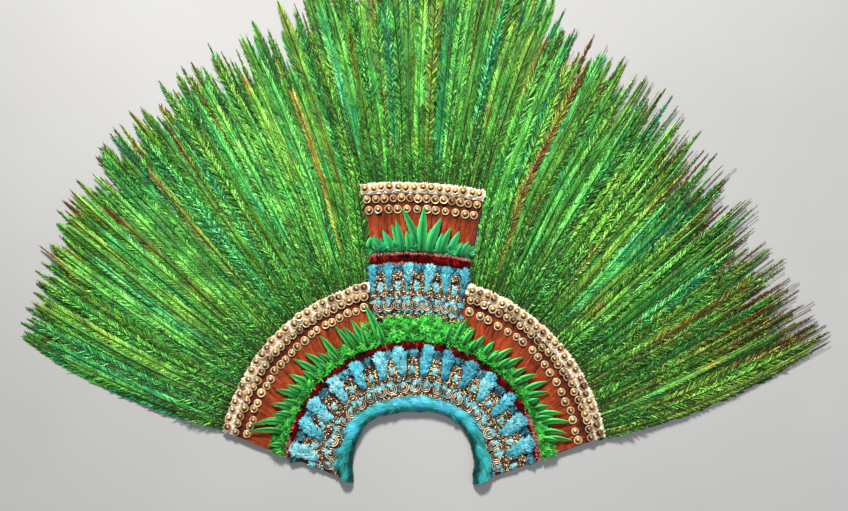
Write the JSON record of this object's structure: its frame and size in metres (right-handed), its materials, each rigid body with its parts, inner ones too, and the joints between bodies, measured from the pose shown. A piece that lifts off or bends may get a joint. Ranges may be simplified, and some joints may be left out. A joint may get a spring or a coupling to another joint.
{
  "type": "feathered headdress",
  "caption": "Fan-shaped feathered headdress: long green plumes behind a semicircular arch and flared column of feather bands with gold discs and crescents, open below for the head.",
  "frame": {"origin": "middle of the outline seen from the front, on the plane that the headdress lies on", "axes": "+Z out of the worn front, +Y from the head notch to the crest, +X to the right of the front as seen"},
  "size_m": [1.7538, 1.1708, 0.022],
  "materials": {
    "ground_cloth": "coarse woven backing cloth",
    "green_plume": "long iridescent green feathers",
    "green_leaf": "short glossy green feathers",
    "brown_feather": "flat russet feathers with fine streaks",
    "white_tip": "matt cream feather tips",
    "red_feather": "deep crimson fluffy feathers",
    "blue_feather": "turquoise fluffy feathers",
    "gold": "thin polished gold plate"
  },
  "bodies": {
    "root": {"ground_cloth": "ground_cloth", "plumes_left_back": "green_plume", "plumes_left_front": "green_plume", "plumes_centre_back": "green_plume", "plumes_centre_front": "green_plume", "plumes_right_back": "green_plume", "plumes_right_front": "green_plume", "brown_band_arch": "brown_feather", "brown_band_column": "brown_feather", "white_border_left": "white_tip", "white_border_right": "white_tip", "white_border_column": "white_tip", "green_garland_arch": "green_leaf", "green_garland_column": "green_leaf", "red_band_arch": "red_feather", "red_band_column": "red_feather", "blue_band_arch": "blue_feather", "blue_block_column": "blue_feather", "blue_notch_roll": "blue_feather", "gold_work_arch": "gold", "gold_line_arch": "gold", "gold_work_column": "gold", "gold_line_column": "gold", "disc_upper_01": "gold", "disc_upper_02": "gold", "disc_upper_03": "gold", "disc_upper_04": "gold", "disc_upper_05": "gold", "disc_upper_06": "gold", "disc_upper_07": "gold", "disc_upper_08": "gold", "disc_upper_09": "gold", "disc_upper_10": "gold", "disc_upper_11": "gold", "disc_upper_12": "gold", "disc_upper_13": "gold", "disc_upper_14": "gold", "disc_lower_01": "gold", "disc_lower_02": "gold", "disc_lower_03": "gold", "disc_lower_04": "gold", "disc_lower_05": "gold", "disc_lower_06": "gold", "disc_lower_07": "gold", "disc_lower_08": "gold", "disc_lower_09": "gold", "disc_lower_10": "gold", "disc_lower_11": "gold", "disc_lower_12": "gold", "crescent_column_1": "gold", "crescent_column_2": "gold", "crescent_column_3": "gold", "crescent_column_4": "gold", "crescent_column_5": "gold", "crescent_column_6": "gold", "crescent_column_7": "gold", "crescent_column_8": "gold", "crescent_column_9": "gold"}
  },
  "joints": []
}
